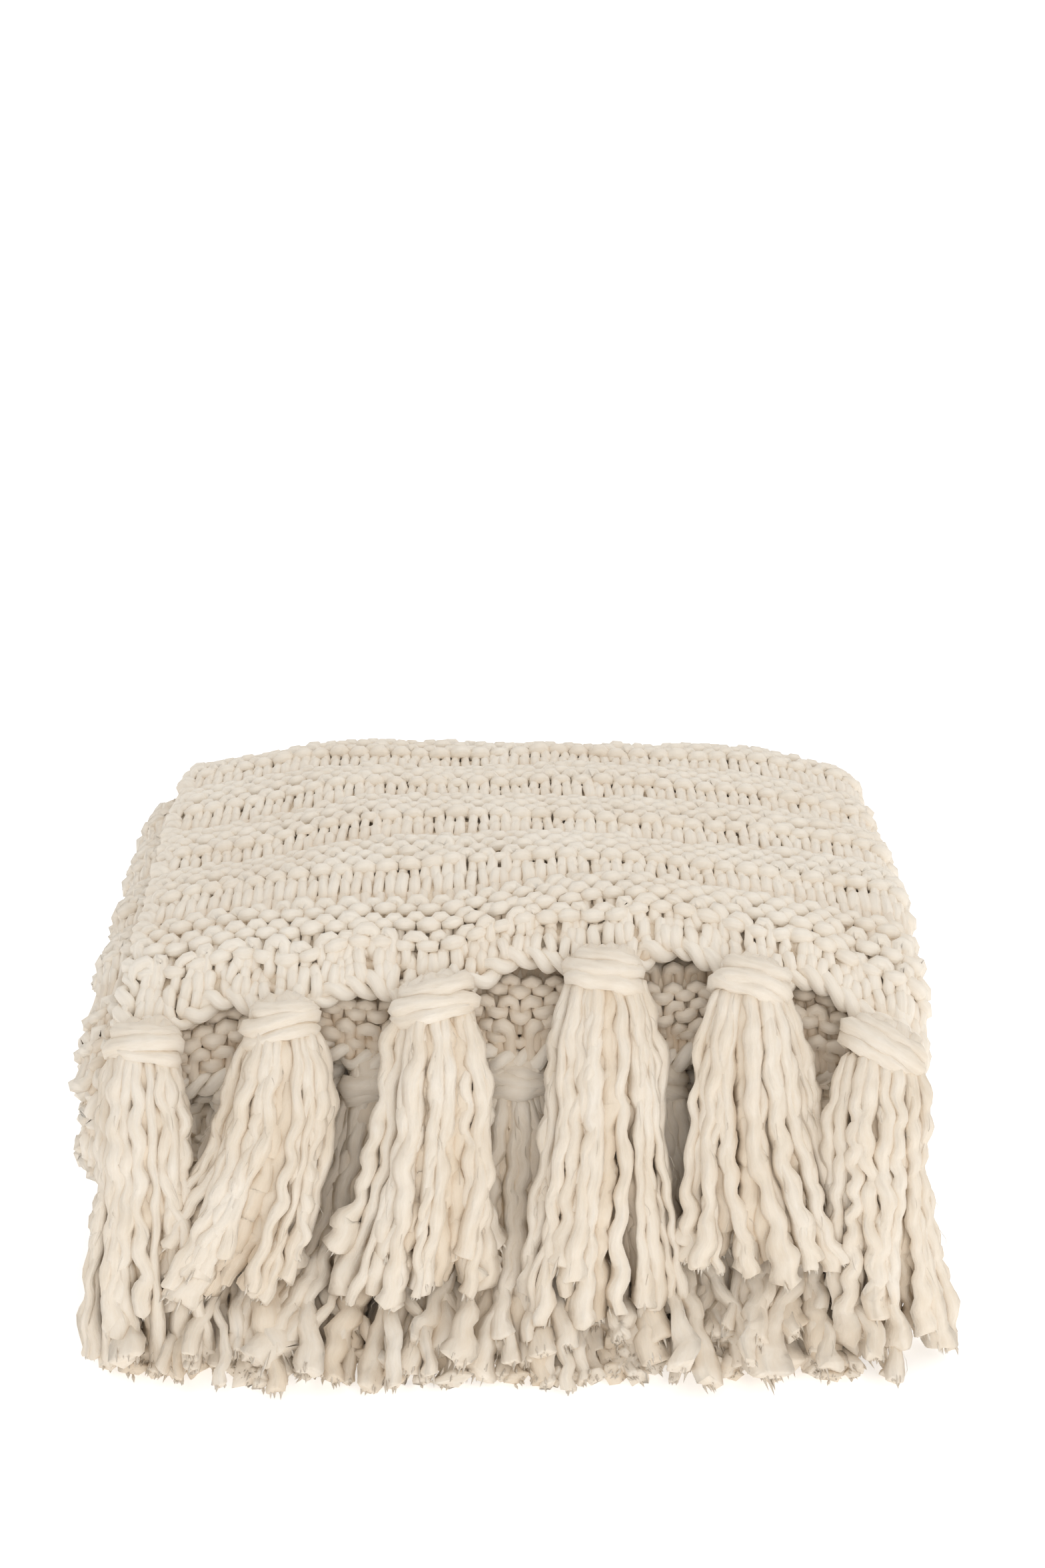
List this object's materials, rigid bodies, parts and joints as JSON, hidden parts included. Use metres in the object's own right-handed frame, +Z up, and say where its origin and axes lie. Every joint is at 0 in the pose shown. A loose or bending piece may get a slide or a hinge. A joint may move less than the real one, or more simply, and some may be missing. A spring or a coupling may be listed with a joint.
{
  "type": "knit throw",
  "caption": "Chunky knit throw folded into a soft stack, with welted stripes and tasselled hems hanging down its front.",
  "frame": {"origin": "on the surface it rests on, under the middle of the folded throw with its fringe", "axes": "+X along the stack's width, to the right as seen from the front; -Y out of the front, where the hems hang; +Z up"},
  "size_m": [0.487, 0.4436, 0.2387],
  "materials": {
    "knit": "matt chunky wool knit",
    "yarn": "matt roving, slightly fuzzy"
  },
  "bodies": {
    "root": {"throw": "knit", "tassel_top_1": "yarn", "tassel_top_2": "yarn", "tassel_top_3": "yarn", "tassel_top_4": "yarn", "tassel_top_5": "yarn", "tassel_top_6": "yarn", "tassel_middle_1": "yarn", "tassel_middle_2": "yarn", "tassel_middle_3": "yarn", "tassel_middle_4": "yarn", "tassel_middle_5": "yarn", "tassel_under_1": "yarn", "tassel_under_2": "yarn", "tassel_under_3": "yarn", "tassel_under_4": "yarn", "tassel_under_5": "yarn", "tassel_tucked_1_1": "yarn", "tassel_tucked_1_2": "yarn", "tassel_tucked_1_3": "yarn", "tassel_tucked_1_4": "yarn", "tassel_tucked_1_5": "yarn", "tassel_tucked_1_6": "yarn", "tassel_tucked_3_1": "yarn", "tassel_tucked_3_2": "yarn", "tassel_tucked_3_3": "yarn", "tassel_tucked_3_4": "yarn", "tassel_tucked_3_5": "yarn"}
  },
  "joints": []
}
